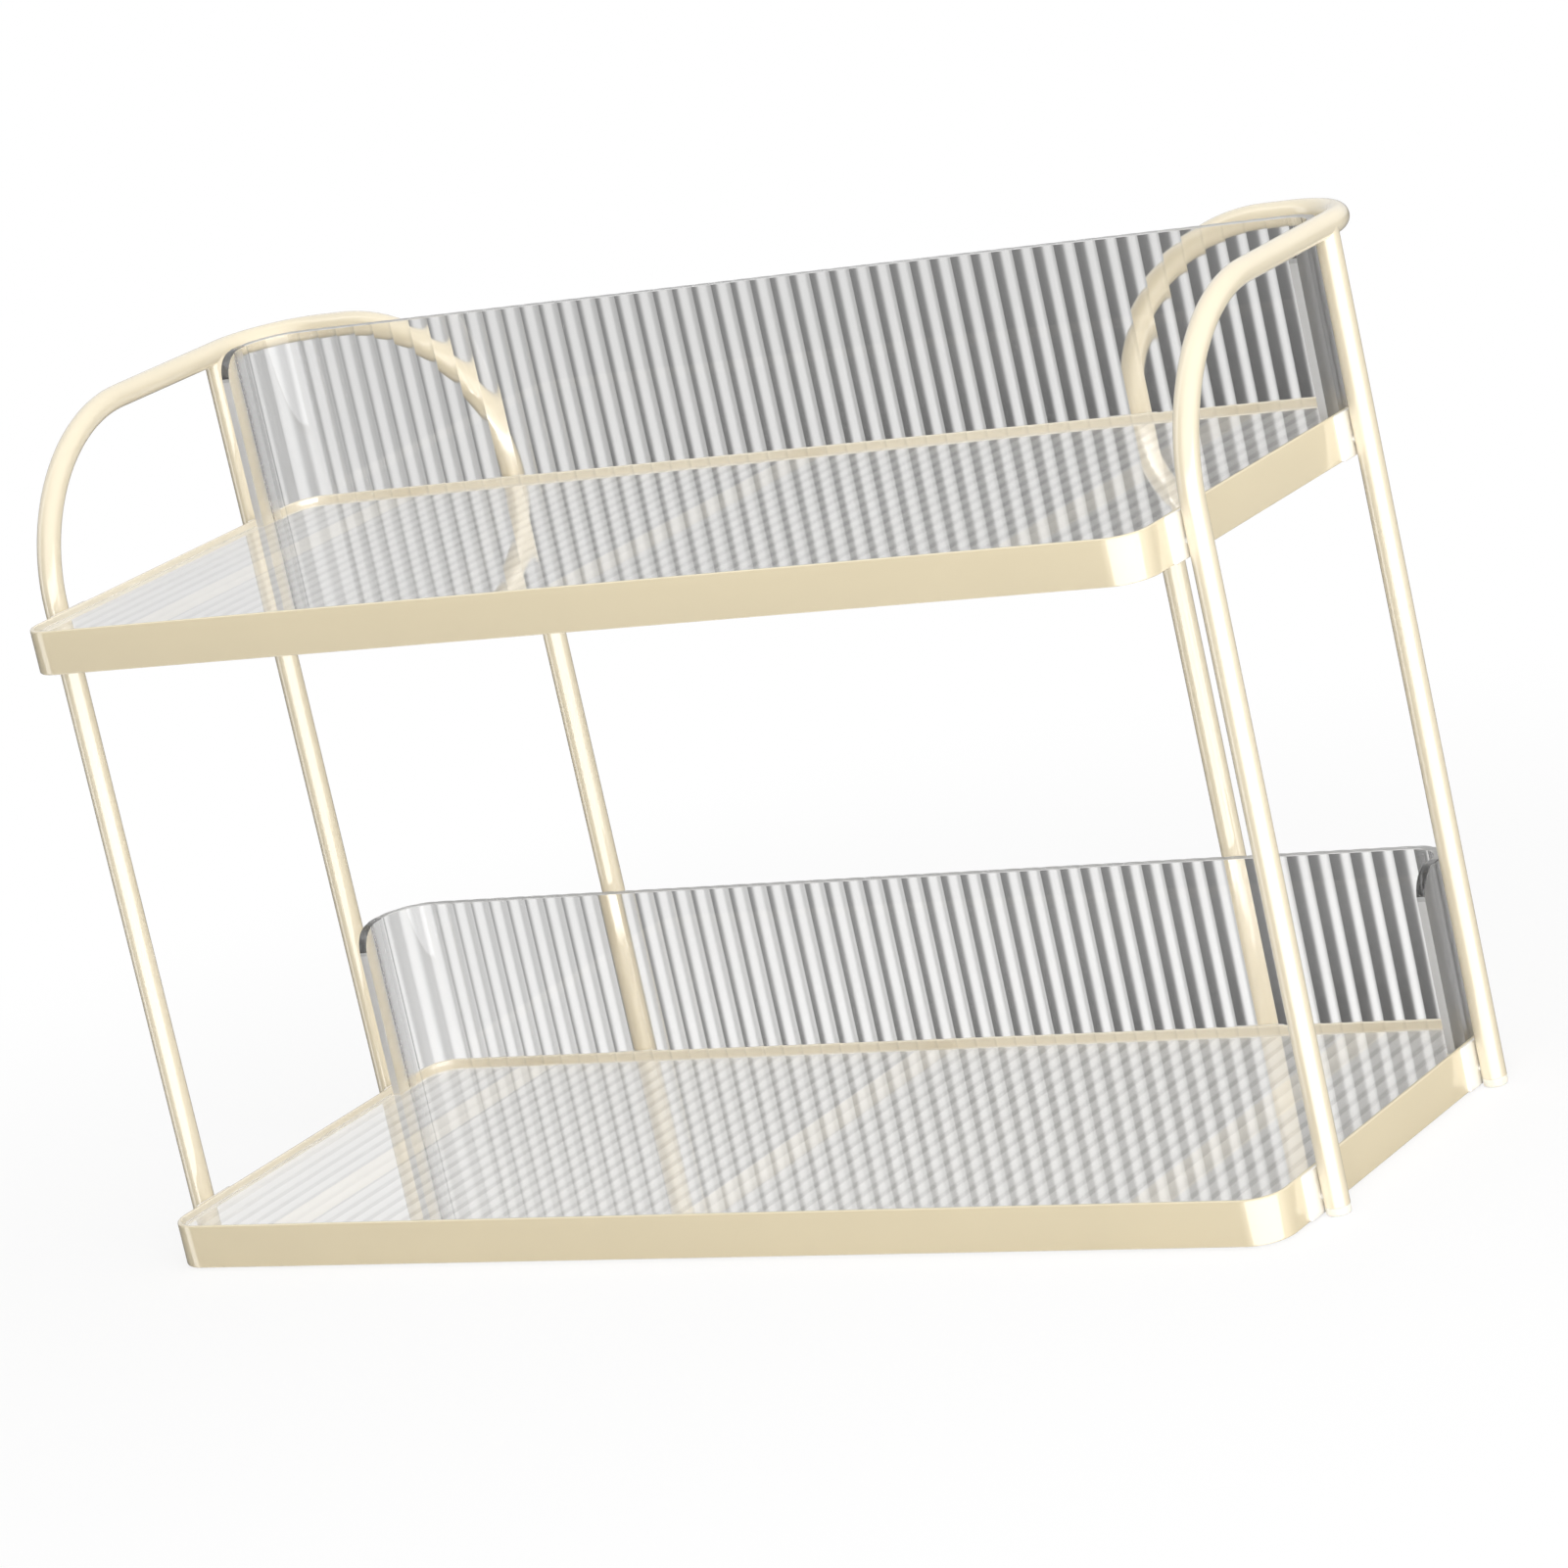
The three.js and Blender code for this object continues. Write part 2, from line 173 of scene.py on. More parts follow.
class RackStage(PropertyGroup):
    """Camera and light."""

    camera_place: FloatVectorProperty(name="Camera place", description="Where the camera stands", size=3,
                                      subtype="TRANSLATION", unit="LENGTH",
                                      default=(0.97467, -1.42780, 0.51299))
    camera_turn: FloatVectorProperty(name="Camera turn", description="Azimuth, fall and roll of the view",
                                     size=3, unit="ROTATION",
                                     default=tuple(math.radians(a) for a in (34.025, 13.234, 12.583)))
    lens: FloatProperty(name="Lens", description="Focal length in millimetres on a 36 mm sensor",
                        default=151.94)
    panel_light: FloatProperty(name="Front panel", description="Power of the wide front panel in watts",
                               default=25.0)
    top_light: FloatProperty(name="Top panel", description="Power of the overhead panel in watts",
                             default=11.0)
    ambient: FloatProperty(name="Ambient", description="Even light from all round", default=0.45)
    window: FloatProperty(name="Mirrored window", description="Brightness of the front window in the coating",
                          default=4.3)


# Shader graphs


class Value:
    """A socket that takes part in Python arithmetic; each operation adds one Math node."""

    def __init__(self, graph, socket):
        self.graph = graph
        self.socket = socket

    def __add__(self, other):
        return self.graph.math("ADD", self, other)

    __radd__ = __add__

    def __mul__(self, other):
        return self.graph.math("MULTIPLY", self, other)

    __rmul__ = __mul__

    def __sub__(self, other):
        return self.graph.math("SUBTRACT", self, other)

    def __rsub__(self, other):
        return self.graph.math("SUBTRACT", other, self)

    def __truediv__(self, other):
        return self.graph.math("DIVIDE", self, other)

    def __rtruediv__(self, other):
        return self.graph.math("DIVIDE", other, self)

    def most(self, other):
        """The larger of two values."""
        return self.graph.math("MAXIMUM", self, other)


class Graph:
    """A node tree that is filled by one method for every kind of node."""

    def __init__(self, owner):
        owner.use_nodes = True
        self.tree = owner.node_tree
        self.tree.nodes.clear()

    def node(self, kind, settings=None, inputs=None, output=0):
        """Adds a node, sets its settings, then its sockets' values or links, and gives one output."""
        made = self.tree.nodes.new(kind)
        for name, value in (settings or {}).items():
            setattr(made, name, value)
        for key, value in (inputs or {}).items():
            if isinstance(value, Value):
                self.tree.links.new(value.socket, made.inputs[key])
            else:
                made.inputs[key].default_value = value
        return Value(self, made.outputs[output]) if made.outputs else None

    def math(self, operation, first, second=0.0):
        """One Math node."""
        return self.node("ShaderNodeMath", {"operation": operation}, {0: first, 1: second})

    def ray(self, fact):
        """A fact about the ray that meets the surface."""
        return self.node("ShaderNodeLightPath", output=fact)

    def noise(self, scale, detail):
        """Cloudy value about one half, at a scale in cells per metre of the object."""
        place = self.node("ShaderNodeTexCoord", output="Object")
        return self.node("ShaderNodeTexNoise", None, {"Vector": place, "Scale": scale, "Detail": detail})

    def blend(self, share, first, second):
        """Colour that runs from first to second with share."""
        return self.node("ShaderNodeMix", {"data_type": "RGBA"}, {0: share, 6: first, 7: second}, 2)

    def span(self, value, low, high, to_low, to_high):
        """Value carried smoothly from one range to another and held at its ends."""
        return self.node("ShaderNodeMapRange", {"interpolation_type": "SMOOTHSTEP"},
                         {0: value, 1: low, 2: high, 3: to_low, 4: to_high})

    def hump(self, value, rise, fall, height=1.0):
        """Nothing, then a smooth rise to the height, then a smooth fall to nothing."""
        return self.span(value, *rise, 0.0, height) * self.span(value, *fall, 1.0, 0.0)

    def bump(self, height, depth, strength):
        """Normal of a fine relief whose full height is depth metres."""
        return self.node("ShaderNodeBump", None, {"Height": height, "Distance": depth, "Strength": strength})

    def mix(self, share, first, second):
        """Shader that goes from first to second with share."""
        return self.node("ShaderNodeMixShader", None, {0: share, 1: first, 2: second})

    def surface(self, shader):
        """Ends a material's tree."""
        self.node("ShaderNodeOutputMaterial", None, {"Surface": shader})


WHITE = (1.0, 1.0, 1.0, 1.0)

# How far each coating's colour is carried towards white. All are the one cream coat; the rim, tube and plate
# copies are painted lighter: painted light on the bands' inner rims, painted sheen on the tubes and painted
# highlights on the plates.
COATS = {"cream_powder_coat": 0.0, "rim_coat_painted_light": 0.25, "tube_coat_painted_sheen": 0.12, "plate_coat_painted_highlight": 0.75}

# Faces of the clear sheets: roughness of clean and of handled places, then, where they aren't the usual ones, the
# share of light that passes, the tint, the strength of a polished top layer, and how far the cream of what lies
# against the face is carried towards white. The grey tints are painted shade, and the creams carried towards white
# are painted light.
SHEET_FACES = {
    "polished_top": {"gloss": 0.02, "dull": 0.05, "polish": 1.0},
    # Grey tint on the milky underside: painted shade.
    "satin_reeds_painted_shade": {"gloss": 0.6, "dull": 0.7, "clear": 0.28, "tint": 0.84},
    # The bars' cream carried towards white on the sheet over them: painted light.
    "bonded_reeds_painted_light": {"gloss": 0.6, "dull": 0.7, "clear": 0.05, "cream_lift": 0.7},
    # Cream carried towards white on the rear edge: painted light.
    "rear_edge_painted_light": {"gloss": 0.6, "dull": 0.7, "clear": 0.15, "cream_lift": 0.5},
    "clear_acrylic": {"gloss": 0.0, "dull": 0.03},
    "clear_reeds": {"gloss": 0.14, "dull": 0.18},
    "satin_leg": {"gloss": 0.4, "dull": 0.5},
    # Dark tint on the right leg: painted shade.
    "leg_painted_shade": {"gloss": 0.4, "dull": 0.5, "tint": 0.46},
    # Grey tint on the rim: painted shade.
    "sanded_edge_painted_shade": {"gloss": 0.4, "dull": 0.5, "clear": 0.5, "tint": 0.6},
    # Grey tint on the flat ends: painted shade.
    "sawn_end_painted_shade": {"gloss": 0.3, "dull": 0.4, "clear": 0.5, "tint": 0.85},
    # Near-black tint on the legs' cut edges: painted shade.
    "cut_edge_painted_dark": {"gloss": 0.05, "dull": 0.1, "clear": 0.6, "tint": 0.12},
}
USUAL_FACE = {"clear": 1.0, "tint": 1.0, "polish": 0.0, "cream_lift": None}

# Where in the cloudy marks a sheet goes from clean to handled.
HANDLED = (0.35, 0.7)


def opaque(color, share=1.0):
    """Colour as four numbers, darkened to a share of itself."""
    return (*(c * share for c in color), 1.0)


def lifted(color, lift):
    """Colour carried towards white."""
    return [c + (1.0 - c) * lift for c in color]


def new_material(name):
    """A material and the graph to fill, or no graph if the material is there already."""
    material = bpy.data.materials.get(name)
    if material:
        return material, None
    material = bpy.data.materials.new(name)
    return material, Graph(material)


def cream_coat(name="cream_powder_coat"):
    """Glossy cream powder coat: a slow drift of tone, a fine orange-peel relief and a clear top layer. The rim,
    tube and plate copies are the same coat carried towards white: painted light.
    """
    finishes = bpy.context.scene.rack_finishes
    material, graph = new_material(name)
    if graph:
        # Carried towards white for the rim, tube and plate copies: painted light.
        color = lifted(finishes.coat_color, COATS[name])
        drift = graph.noise(scale=35.0, detail=3.0)
        peel = graph.noise(scale=1500.0, detail=1.0)
        tone = graph.blend(drift, opaque(color, 0.97), opaque(color, 1.03))
        graph.surface(graph.node("ShaderNodeBsdfPrincipled", None, {
            "Base Color": tone,
            "Roughness": 0.34 + 0.12 * peel,
            "Normal": graph.bump(peel, depth=0.00002, strength=0.35),
            "Coat Weight": 1.0,
            "Coat Roughness": 0.06,
            "Coat IOR": finishes.coat_gloss,
        }))
    return material


def clear_sheet(name):
    """Clear acrylic: refracting, with faint waviness and handling marks that run from gloss to dull; less than
    fully clear it is milky. Light that falls on what lies behind it passes straight through, so it throws a pale
    shadow."""
    finishes = bpy.context.scene.rack_finishes
    material, graph = new_material(name)
    if graph:
        face = {**USUAL_FACE, **SHEET_FACES[name]}
        color = finishes.sheet_color
        if face["cream_lift"] is not None:
            color = lifted(finishes.coat_color, face["cream_lift"])
        marks = graph.noise(scale=60.0, detail=4.0)
        wave = graph.noise(scale=140.0, detail=1.0)
        # A face's tint darkens it as painted shade, and a lifted cream paints light onto it.
        tone = graph.blend(marks, opaque(color, 0.99 * face["tint"]), opaque(color, face["tint"]))
        shader = graph.node("ShaderNodeBsdfPrincipled", None, {
            "Base Color": tone,
            "Roughness": graph.span(marks, *HANDLED, face["gloss"], face["dull"]),
            "IOR": finishes.sheet_index,
            "Transmission Weight": face["clear"],
            "Normal": graph.bump(wave, depth=0.00001, strength=0.05),
            "Coat Weight": face["polish"],
            "Coat Roughness": 0.03,
            "Coat IOR": 1.6,
        })
        film = graph.node("ShaderNodeBsdfTransparent", None, {"Color": opaque(finishes.sheet_color)})
        passing = graph.ray("Is Shadow Ray").most(graph.ray("Is Diffuse Ray"))
        graph.surface(graph.mix(passing, shader, film))
    return material


def plated_steel():
    """Plated screw steel with fine turning marks and a little dulling."""
    finishes = bpy.context.scene.rack_finishes
    material, graph = new_material("plated_screw_steel")
    if graph:
        dull = graph.noise(scale=900.0, detail=3.0)
        tone = graph.blend(dull, opaque(finishes.steel_color, 0.85), opaque(finishes.steel_color, 1.1))
        graph.surface(graph.node("ShaderNodeBsdfPrincipled", None, {
            "Base Color": tone,
            "Metallic": 1.0,
            "Roughness": 0.2 + 0.25 * dull,
            "Normal": graph.bump(dull, depth=0.00002, strength=0.3),
        }))
    return material


def foot_rubber():
    """Milky rubber pads with a dry, finely pitted skin."""
    finishes = bpy.context.scene.rack_finishes
    material, graph = new_material("milky_rubber")
    if graph:
        pits = graph.noise(scale=2200.0, detail=2.0)
        tone = graph.blend(pits, opaque(finishes.pad_color, 0.94), opaque(finishes.pad_color, 1.04))
        graph.surface(graph.node("ShaderNodeBsdfPrincipled", None, {
            "Base Color": tone,
            "Roughness": 0.5 + 0.2 * pits,
            "Normal": graph.bump(pits, depth=0.00003, strength=0.4),
            "Subsurface Weight": 0.2,
            "Subsurface Scale": 0.002,
        }))
    return material


# Surfaces


def quarter_turn(steps):
    """Angles from nothing to a quarter turn."""
    return np.linspace(0.0, math.pi / 2, steps)


def full_turn(steps):
    """Angles once round, the first not repeated."""
    return np.linspace(0.0, 2 * math.pi, steps, endpoint=False)


def loft(rings, closed=False):
    """Skin over rings of points, an array of stations by points by three. Point j of ring i is joined to point
    j + 1 and to ring i + 1. An open loft is closed by a flat face at each end."""
    stations, count, _ = rings.shape
    index = np.arange(stations * count).reshape(stations, count)
    first = index if closed else index[:-1]
    second = np.roll(index, -1, 0) if closed else index[1:]
    quads = np.stack([first, np.roll(first, -1, 1), np.roll(second, -1, 1), second], -1).reshape(-1, 4)
    ends = [] if closed else [index[0][::-1], index[-1]]
    return rings.reshape(-1, 3), quads, ends


def loft_faces(rings):
    """Station and column of every face of an open loft; its two flat ends come last."""
    stations, count, _ = rings.shape
    station, column = np.divmod(np.arange((stations - 1) * count), count)
    return np.append(station, [stations - 1] * 2), np.append(column, [LOFT_END] * 2)


def encloses(points, quads, ends):
    """Signed volume of the skin: the sum over its triangles of one sixth of a . (b x c), positive if it faces
    out."""
    fans = [np.stack([np.full(len(e) - 2, e[0]), e[1:-1], e[2:]], -1) for e in ends]
    triangles = np.concatenate([quads[:, [0, 1, 2]], quads[:, [0, 2, 3]], *fans])
    a, b, c = (points[triangles[:, k]] for k in range(3))
    return np.einsum("ij,ij->i", a, np.cross(b, c)).sum() / 6


def place_piece(name, skin, material, slot, *nodes, crease=CREASE, sides=()):
    """Makes one object from a closed skin, faces outward, shades it smooth up to the crease angle, and puts it in
    place of its CAD nodes. Sides pairs other materials with the faces that have them."""
    points, quads, ends = skin
    turn = -1 if encloses(points, quads, ends) < 0 else 1
    faces = quads[:, ::turn].tolist() + [end[::turn].tolist() for end in ends]
    mesh = bpy.data.meshes.new(name)
    mesh.from_pydata(points.tolist(), [], faces)
    mesh.validate()
    mesh.shade_smooth()
    mesh.set_sharp_from_angle(angle=math.radians(crease))
    mesh.materials.append(material)
    chosen = np.zeros(len(faces), np.int32)
    for number, (other, which) in enumerate(sides, 1):
        mesh.materials.append(other)
        chosen[which] = number
    mesh.polygons.foreach_set("material_index", chosen)
    piece = bpy.data.objects.new(name, mesh)
    bpy.context.scene.collection.objects.link(piece)
    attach(piece, "root")
    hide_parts(*nodes)


def rounded_outline(reach_x, reach_y, radius, steps):
    """Plan of a rounded rectangle about the origin: four quarter circles, and outward normals, as two arrays."""
    quarter = quarter_turn(steps)
    angle = np.concatenate([quarter + k * math.pi / 2 for k in range(4)])
    normal = np.stack([np.cos(angle), np.sin(angle)], -1)
    corner = np.repeat(np.array([[1, 1], [-1, 1], [-1, -1], [1, -1]]), steps, 0)
    return corner * np.array([reach_x - radius, reach_y - radius]) + radius * normal, normal


def subdivided(points, normal, longest):
    """Outline with points added along its long straights, so that no step is longer than asked."""
    step = np.linalg.norm(np.roll(points, -1, 0) - points, axis=1)
    count = np.maximum(1, np.ceil(step / longest)).astype(int)
    index = np.repeat(np.arange(len(points)), count)
    share = np.concatenate([np.arange(c) / c for c in count])[:, None]
    after = (index + 1) % len(points)
    mixed = normal[index] * (1 - share) + normal[after] * share
    mixed /= np.linalg.norm(mixed, axis=1)[:, None]
    return points[index] * (1 - share) + points[after] * share, mixed


def strip_section(width, height, radius, steps=4):
    """Section of a strip with rounded edges: a rounded rectangle moved so that it spans 0 to width, 0 to
    height."""
    points, _ = rounded_outline(width / 2, height / 2, radius, steps)
    return points + np.array([width, height]) / 2


class RACK_OT_tray_bands(Operator):
    """Two tray bands: a round-edged strip section carried round a rounded rectangle"""

    bl_idname = "rack.tray_bands"
    bl_label = "Tray bands"

    def execute(self, context):
        sizes = context.scene.rack_sizes
        for tier in TIERS:
            node = tier + "_tray_band"
            low, high = node_box(node)
            reach = (high - low)[:2] / 2
            outline, normal = rounded_outline(*reach, sizes.band_corner, BAND_CORNER_STEPS)
            outline, normal = subdivided(outline, normal, BAND_STEP)
            section = strip_section(sizes.band_wall, high[2] - low[2], sizes.edge_round)
            rings = np.empty((len(outline), len(section), 3))
            middle = (high + low)[:2] / 2
            rings[..., :2] = middle + outline[:, None] - normal[:, None] * section[None, :, :1]
            rings[..., 2] = low[2] + section[:, 1]
            far = section[:, 0] > sizes.band_wall * INNER_SHARE
            inner = np.tile(far & np.roll(far, -1), len(outline))
            # The inner faces and rim take the same cream coat painted lighter: painted light.
            place_piece(tier + "_band_skin", loft(rings, closed=True), cream_coat(), "cream_coat", node,
                        sides=[(cream_coat("rim_coat_painted_light"), inner)])
        return {"FINISHED"}


class RACK_OT_cross_bars(Operator):
    """Six cross bars: a round-edged strip section carried from the front to the back of a tray"""

    bl_idname = "rack.cross_bars"
    bl_label = "Cross bars"

    def execute(self, context):
        sizes = context.scene.rack_sizes
        for tier in TIERS:
            for bar in BARS:
                node = f"{tier}_cross_bar_{bar}"
                low, high = node_box(node)
                section = strip_section(high[0] - low[0], high[2] - low[2], sizes.edge_round)
                rings = np.empty((2, len(section), 3))
                rings[..., 0] = low[0] + section[:, 0]
                rings[..., 1] = np.array([[low[1]], [high[1]]])
                rings[..., 2] = low[2] + section[:, 1]
                place_piece(f"{tier}_bar_{bar}", loft(rings), cream_coat(), "cream_coat", node)
        return {"FINISHED"}


def reed_dip(share, depth):
    """Depth of a reeded face below its crests: depth times (2u - 1) squared, u the share of one pitch."""
    return depth * (2 * (share % 1.0) - 1) ** 2


class RACK_OT_floor_sheets(Operator):
    """Two floor sheets: for each place across the tray a section from front to back, flat on top, whose underside
    rises and falls with the reeds; the front ends follow the tray's corners and the back ends the guard"""

    bl_idname = "rack.floor_sheets"
    bl_label = "Floor sheets"

    def execute(self, context):
        sizes = context.scene.rack_sizes
        for tier in TIERS:
            node = tier + "_floor_sheet"
            low, high = node_box(node)
            guard_low, guard_high = node_box(tier + "_back_guard")
            reach = (high[0] - low[0]) / 2
            reeds = round(2 * reach / sizes.reed_pitch)
            across = np.linspace(-reach, reach, reeds * REED_STEPS + 1)
            ends = reach - sizes.reed_pitch / REED_STEPS * FLOOR_END_STEPS
            inner = guard_high[0] - sizes.guard_thickness - sizes.sheet_gap
            notch = np.array([inner - NOTCH_HALF, inner + NOTCH_HALF])
            across = np.unique(np.concatenate([across, ends, -ends, notch, -notch]))

            front_radius = sizes.band_corner - (node_box(tier + "_tray_band")[1][0] - reach)
            inward = np.clip(np.abs(across) - (reach - front_radius), 0, front_radius)
            front = low[1] + front_radius - np.sqrt(front_radius ** 2 - inward ** 2)
            back_radius = sizes.guard_corner - sizes.guard_thickness - sizes.sheet_gap
            inward = np.clip(np.abs(across) - (inner - back_radius), 0, back_radius)
            back = high[1] - back_radius + np.sqrt(back_radius ** 2 - inward ** 2)
            back = np.where(np.abs(across) > inner, guard_low[1] - sizes.sheet_gap, back)

            under = low[2] + reed_dip((across + reach) / (2 * reach) * reeds, sizes.reed_depth)
            top = np.full_like(across, high[2])
            edge = sizes.sheet_edge
            along = [front, front, front + edge, back - edge, back, back]
            height = [under, top - edge, top, top, top - edge, under]
            rings = np.stack([np.stack([across, y, z], -1) for y, z in zip(along, height)], 1)

            station, column = loft_faces(rings)
            middle = np.append((across[1:] + across[:-1]) / 2, reach)[station]
            bars = np.array([box_middle(f"{tier}_cross_bar_{bar}")[0] for bar in BARS])
            bar_low, bar_high = node_box(f"{tier}_cross_bar_middle")
            on_bar = np.abs(middle[:, None] - bars).min(1) < (bar_high[0] - bar_low[0]) / 2
            beneath = column == FLOOR_UNDER
            # The underside is tinted grey as painted shade; over the bars and on the rear edge it takes cream
            # carried towards white as painted light.
            place_piece(tier + "_floor_pane", loft(rings), clear_sheet("polished_top"), "clear_sheet", node,
                        crease=SHEET_CREASE,
                        sides=[(clear_sheet("satin_reeds_painted_shade"), beneath & ~on_bar),
                               (clear_sheet("bonded_reeds_painted_light"), beneath & on_bar),
                               (clear_sheet("rear_edge_painted_light"), np.isin(column, FLOOR_REAR))])
        return {"FINISHED"}


class RACK_OT_back_guards(Operator):
    """Two back guards: a sheet section carried along the back and round both corners in plan, its outer side
    rising and falling with the reeds; the top falls along a quarter circle at both front ends"""

    bl_idname = "rack.back_guards"
    bl_label = "Back guards"

    def execute(self, context):
        sizes = context.scene.rack_sizes
        radius, round_end = sizes.guard_corner, sizes.guard_round
        for tier in TIERS:
            node = tier + "_back_guard"
            low, high = node_box(node)
            straight = high[0] - radius
            bend = radius * math.pi / 2
            leg = high[1] - radius - low[1]
            length = 2 * (straight + bend + leg)
            reeds = round(length / sizes.reed_pitch)
            near = round_end * (1 - np.cos(quarter_turn(GUARD_END_STEPS)))
            place = np.unique(np.concatenate([
                np.linspace(0.0, length, reeds * REED_STEPS + 1), near, length - near]))

            run = np.abs(length / 2 - place)
            side = np.sign(length / 2 - place)
            bent = np.clip(run - straight, 0, bend) / radius
            down = np.maximum(run - straight - bend, 0)
            crest = np.stack([side * (np.minimum(run, straight) + radius * np.sin(bent)),
                              high[1] - radius + radius * np.cos(bent) - down], -1)
            normal = np.stack([side * np.sin(bent), np.cos(bent)], -1)

            dip = reed_dip(place / length * reeds, sizes.reed_depth)
            from_end = np.minimum(np.minimum(place, length - place), round_end)
            top = high[2] - round_end + np.sqrt(round_end ** 2 - (round_end - from_end) ** 2)
            edge = sizes.sheet_edge
            inside = np.full_like(place, sizes.guard_thickness)
            foot = np.full_like(place, low[2])
            depth = [inside, inside, inside - edge, dip + edge, dip, dip]
            height = [foot, top - edge, top, top, top - edge, foot]
            rings = np.empty((len(place), len(depth), 3))
            rings[..., :2] = crest[:, None] - normal[:, None] * np.stack(depth, -1)[..., None]
            rings[..., 2] = np.stack(height, -1)

            station, column = loft_faces(rings)
            legs = (run > straight + bend)[station]
            right = (side > 0)[station]
            cut = legs & (from_end[station] / round_end > CUT_START)
            reeded = column == GUARD_REEDS
            rim = np.isin(column, GUARD_RIM)
            # The right leg, the rim, the ends and the cut edges are tinted dark: painted shade.
            place_piece(tier + "_guard_pane", loft(rings), clear_sheet("clear_acrylic"), "clear_sheet", node,
                        crease=SHEET_CREASE,
                        sides=[(clear_sheet("clear_reeds"), reeded & ~legs),
                               (clear_sheet("satin_leg"), reeded & legs & ~right),
                               (clear_sheet("leg_painted_shade"), reeded & legs & right),
                               (clear_sheet("sanded_edge_painted_shade"), rim & ~cut),
                               (clear_sheet("sawn_end_painted_shade"), column == LOFT_END),
                               (clear_sheet("cut_edge_painted_dark"), rim & cut)])
        return {"FINISHED"}


def tube_rings(centre, first, second, radius):
    """Circles of one radius about each centre, in the plane of two unit vectors per station."""
    angle = full_turn(TUBE_SIDES)
    circle = np.stack([np.cos(angle), np.sin(angle)], -1) * radius
    return centre[:, None] + circle[None, :, :1] * first[:, None] + circle[None, :, 1:] * second[:, None]


class RACK_OT_arch_tubes(Operator):
    """Two arch tubes: a circle carried up the front post, over a quarter circle, along the side, round a plan
    quarter circle, over a second upright quarter circle and down the back post"""

    bl_idname = "rack.arch_tubes"
    bl_label = "Arch tubes"

    def execute(self, context):
        bend = context.scene.rack_sizes.tube_bend
        quarter = quarter_turn(ARCH_STEPS)
        sin, cos = np.sin(quarter), np.cos(quarter)
        same, flat = np.ones_like(quarter), np.zeros_like(quarter)
        for side, sign in SIDES:
            node = side + "_arch_tube"
            low, high = node_box(node)
            side_x = abs(box_middle(side + "_front_foot")[0])
            front_y = box_middle(side + "_front_foot")[1]
            back_x = abs(box_middle(side + "_back_foot")[0])
            back_y = box_middle(side + "_back_foot")[1]
            top = high[2] - TUBE_RADIUS
            start = BAND_TOP
            arch = top - start

            climb = np.stack([side_x * same, front_y + arch * (1 - cos), start + arch * sin], -1)
            turn = np.stack([side_x - bend * (1 - cos), back_y - bend * (1 - sin), top * same], -1)
            fall = np.stack([back_x + arch * (1 - sin), back_y * same, start + arch * cos], -1)
            foot = np.array([[side_x, front_y, low[2]]])
            last = np.array([[back_x, back_y, low[2]]])
            centre = np.concatenate([foot, climb, turn, fall, last])

            way = np.concatenate([[[0, 0, 1]], np.stack([flat, sin, cos], -1), np.stack([-sin, cos, flat], -1),
                                  np.stack([-cos, flat, -sin], -1), [[0, 0, -1]]])
            first = np.empty_like(centre)
            one, two = 1 + len(quarter), 1 + 2 * len(quarter)
            first[:one] = (1, 0, 0)
            first[one:two] = np.stack([cos, sin, flat], -1)
            first[two:] = (0, 1, 0)
            rings = tube_rings(centre, first, np.cross(way, first), TUBE_RADIUS) * np.array([sign, 1, 1])
            # The tube coat is the same cream coat painted lighter: painted sheen.
            place_piece(side + "_arch", loft(rings), cream_coat("tube_coat_painted_sheen"), "cream_coat", node)
        return {"FINISHED"}


class RACK_OT_corner_posts(Operator):
    """Two corner posts: a circle carried up to the tube above, where the end is coped to the tube's underside, at
    height axis - r |sin a|, and bites a little into the weld"""

    bl_idname = "rack.corner_posts"
    bl_label = "Corner posts"

    def execute(self, context):
        leg = context.scene.rack_sizes.weld_leg
        angle = full_turn(TUBE_SIDES)
        for side, _ in SIDES:
            node = side + "_corner_post"
            low, high = node_box(node)
            middle = (low + high) / 2
            axis = node_box(side + "_arch_tube")[1][2] - TUBE_RADIUS
            saddle = axis - TUBE_RADIUS * np.abs(np.sin(angle))
            lift = np.stack([np.full_like(angle, low[2]), saddle + leg])
            rings = np.stack(np.broadcast_arrays(middle[0] + TUBE_RADIUS * np.cos(angle),
                                                 middle[1] + TUBE_RADIUS * np.sin(angle), lift), -1)
            # The tube coat is the same cream coat painted lighter: painted sheen.
            place_piece(side + "_corner_tube", loft(rings), cream_coat("tube_coat_painted_sheen"), "cream_coat", node)
        return {"FINISHED"}


def joint_frame(side, sign, post, tier):
    """Place where a post meets a band, and the ways out of, along and up the band's face there."""
    low, high = node_box(f"{side}_{post}_{tier}_plate")
    middle = (low + high) / 2
    if post == "back":
        return np.array([middle[0], low[1], low[2]]), np.array([[0, 1, 0], [-1, 0, 0], [0, 0, 1.0]])
    face = low[0] if sign > 0 else high[0]
    return np.array([face, middle[1], low[2]]), np.array([[sign, 0, 0], [0, sign, 0], [0, 0, 1.0]])


